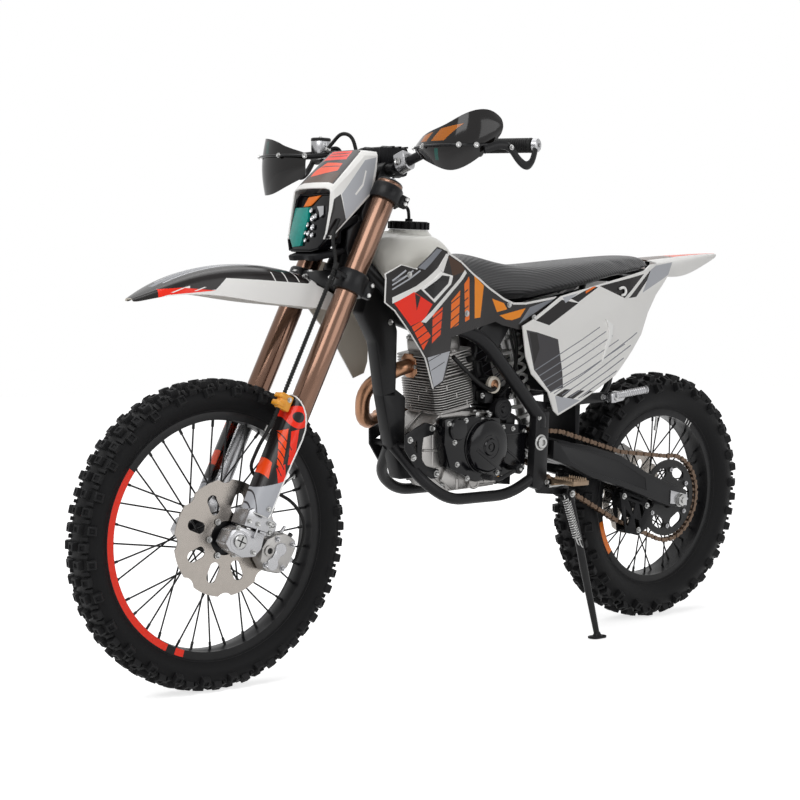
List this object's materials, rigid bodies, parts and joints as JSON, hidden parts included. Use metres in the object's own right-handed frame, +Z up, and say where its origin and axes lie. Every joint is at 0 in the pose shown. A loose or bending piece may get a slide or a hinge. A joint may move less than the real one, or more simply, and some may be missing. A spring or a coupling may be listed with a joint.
{
  "type": "motocross bike",
  "caption": "Off-road motorcycle with a single-cylinder air-cooled engine, knobbly tyres, wire wheels, high bodywork and handguards, leaning on its side stand.",
  "frame": {"origin": "middle of the bounding box on the floor", "axes": "+X towards the front wheel, +Y to the rider's left, +Z up; the bike leans 4 degrees to +Y on its side stand and its steering is turned 4 degrees to the right"},
  "size_m": [2.165, 0.866, 1.3107],
  "materials": {
    "tyre_black": "moulded black tread rubber",
    "black_rim": "black anodised, satin",
    "black_metal": "black powder coat, satin",
    "frame_grey": "dark grey powder coat, satin",
    "engine_silver": "cast and blasted, satin",
    "machined_silver": "machined, bright satin",
    "steel_disc": "ground steel",
    "zinc_steel": "zinc plated",
    "bronze_tube": "bronze anodised, gloss",
    "white_plastic": "white moulded plastic, gloss",
    "black_plastic": "black moulded plastic, fine texture",
    "gloss_black": "black plastic, gloss",
    "lamp_glass": "black lamp housing with clear lens",
    "tank_white": "translucent white polyethylene",
    "seat_cover": "black ribbed vinyl cover",
    "grip_rubber": "black moulded rubber",
    "hose_black": "black rubber hose",
    "chain_gold": "bronze coloured steel links",
    "exhaust_steel": "heat tinted steel",
    "peg_bronze": "bare cast steel"
  },
  "bodies": {
    "front_wheel": {"front_tyre": "tyre_black", "front_rim": "black_rim", "front_hub": "black_metal", "front_disc": "steel_disc"},
    "steering": {"fork_tubes": "bronze_tube", "fork_lowers": "machined_silver", "front_axle": "zinc_steel", "fork_guards": "gloss_black", "triple_clamps": "black_metal", "handlebar": "black_metal", "bar_pad": "black_plastic", "grips": "grip_rubber", "clutch_lever": "machined_silver", "brake_master": "machined_silver", "handguards": "gloss_black", "headlight_mask": "white_plastic", "headlight": "lamp_glass", "front_fender": "white_plastic", "front_caliper": "engine_silver", "front_brake_hose": "hose_black"},
    "rear_wheel": {"rear_tyre": "tyre_black", "rear_rim": "black_rim", "rear_hub": "black_metal", "rear_disc": "steel_disc", "rear_sprocket": "black_metal"},
    "chassis": {"main_frame": "frame_grey", "subframe": "frame_grey", "swingarm": "frame_grey", "rear_axle": "zinc_steel", "drive_chain": "chain_gold", "front_sprocket": "zinc_steel", "chain_guide": "black_plastic", "shock_absorber": "zinc_steel", "crankcase": "engine_silver", "cylinder": "engine_silver", "engine_covers": "gloss_black", "carburettor": "black_metal", "airbox": "black_plastic", "inner_mudguard": "black_plastic", "exhaust_pipe": "exhaust_steel", "muffler": "black_metal", "fuel_tank": "tank_white", "tank_cap": "black_plastic", "seat": "seat_cover", "tank_shrouds": "white_plastic", "side_panels": "white_plastic", "rear_fender": "white_plastic", "footpegs": "peg_bronze", "rear_pegs": "frame_grey", "foot_controls": "black_metal", "rear_caliper": "engine_silver"},
    "side_stand": {"side_stand": "black_metal"}
  },
  "joints": [
    {"name": "steering", "type": "hinge", "parent": "chassis", "child": "steering", "pos_m": [0.8454, -0.08961, 0.00038], "axis": [-0.4305, 0.063, 0.9004], "range_deg": [-36, 44]},
    {"name": "front_wheel_spin", "type": "hinge", "parent": "steering", "child": "front_wheel", "pos_m": [0.73529, -0.06885, 0.34773], "axis": [0.063, 0.9972, -0.0396], "continuous": true},
    {"name": "rear_wheel_spin", "type": "hinge", "parent": "chassis", "child": "rear_wheel", "pos_m": [-0.7446, -0.06603, 0.33756], "axis": [0, 0.9976, -0.0698], "continuous": true},
    {"name": "side_stand", "type": "hinge", "parent": "chassis", "child": "side_stand", "pos_m": [-0.2906, 0.04819, 0.37969], "axis": [0, 0.9976, -0.0698], "range_deg": [0, 84]}
  ]
}
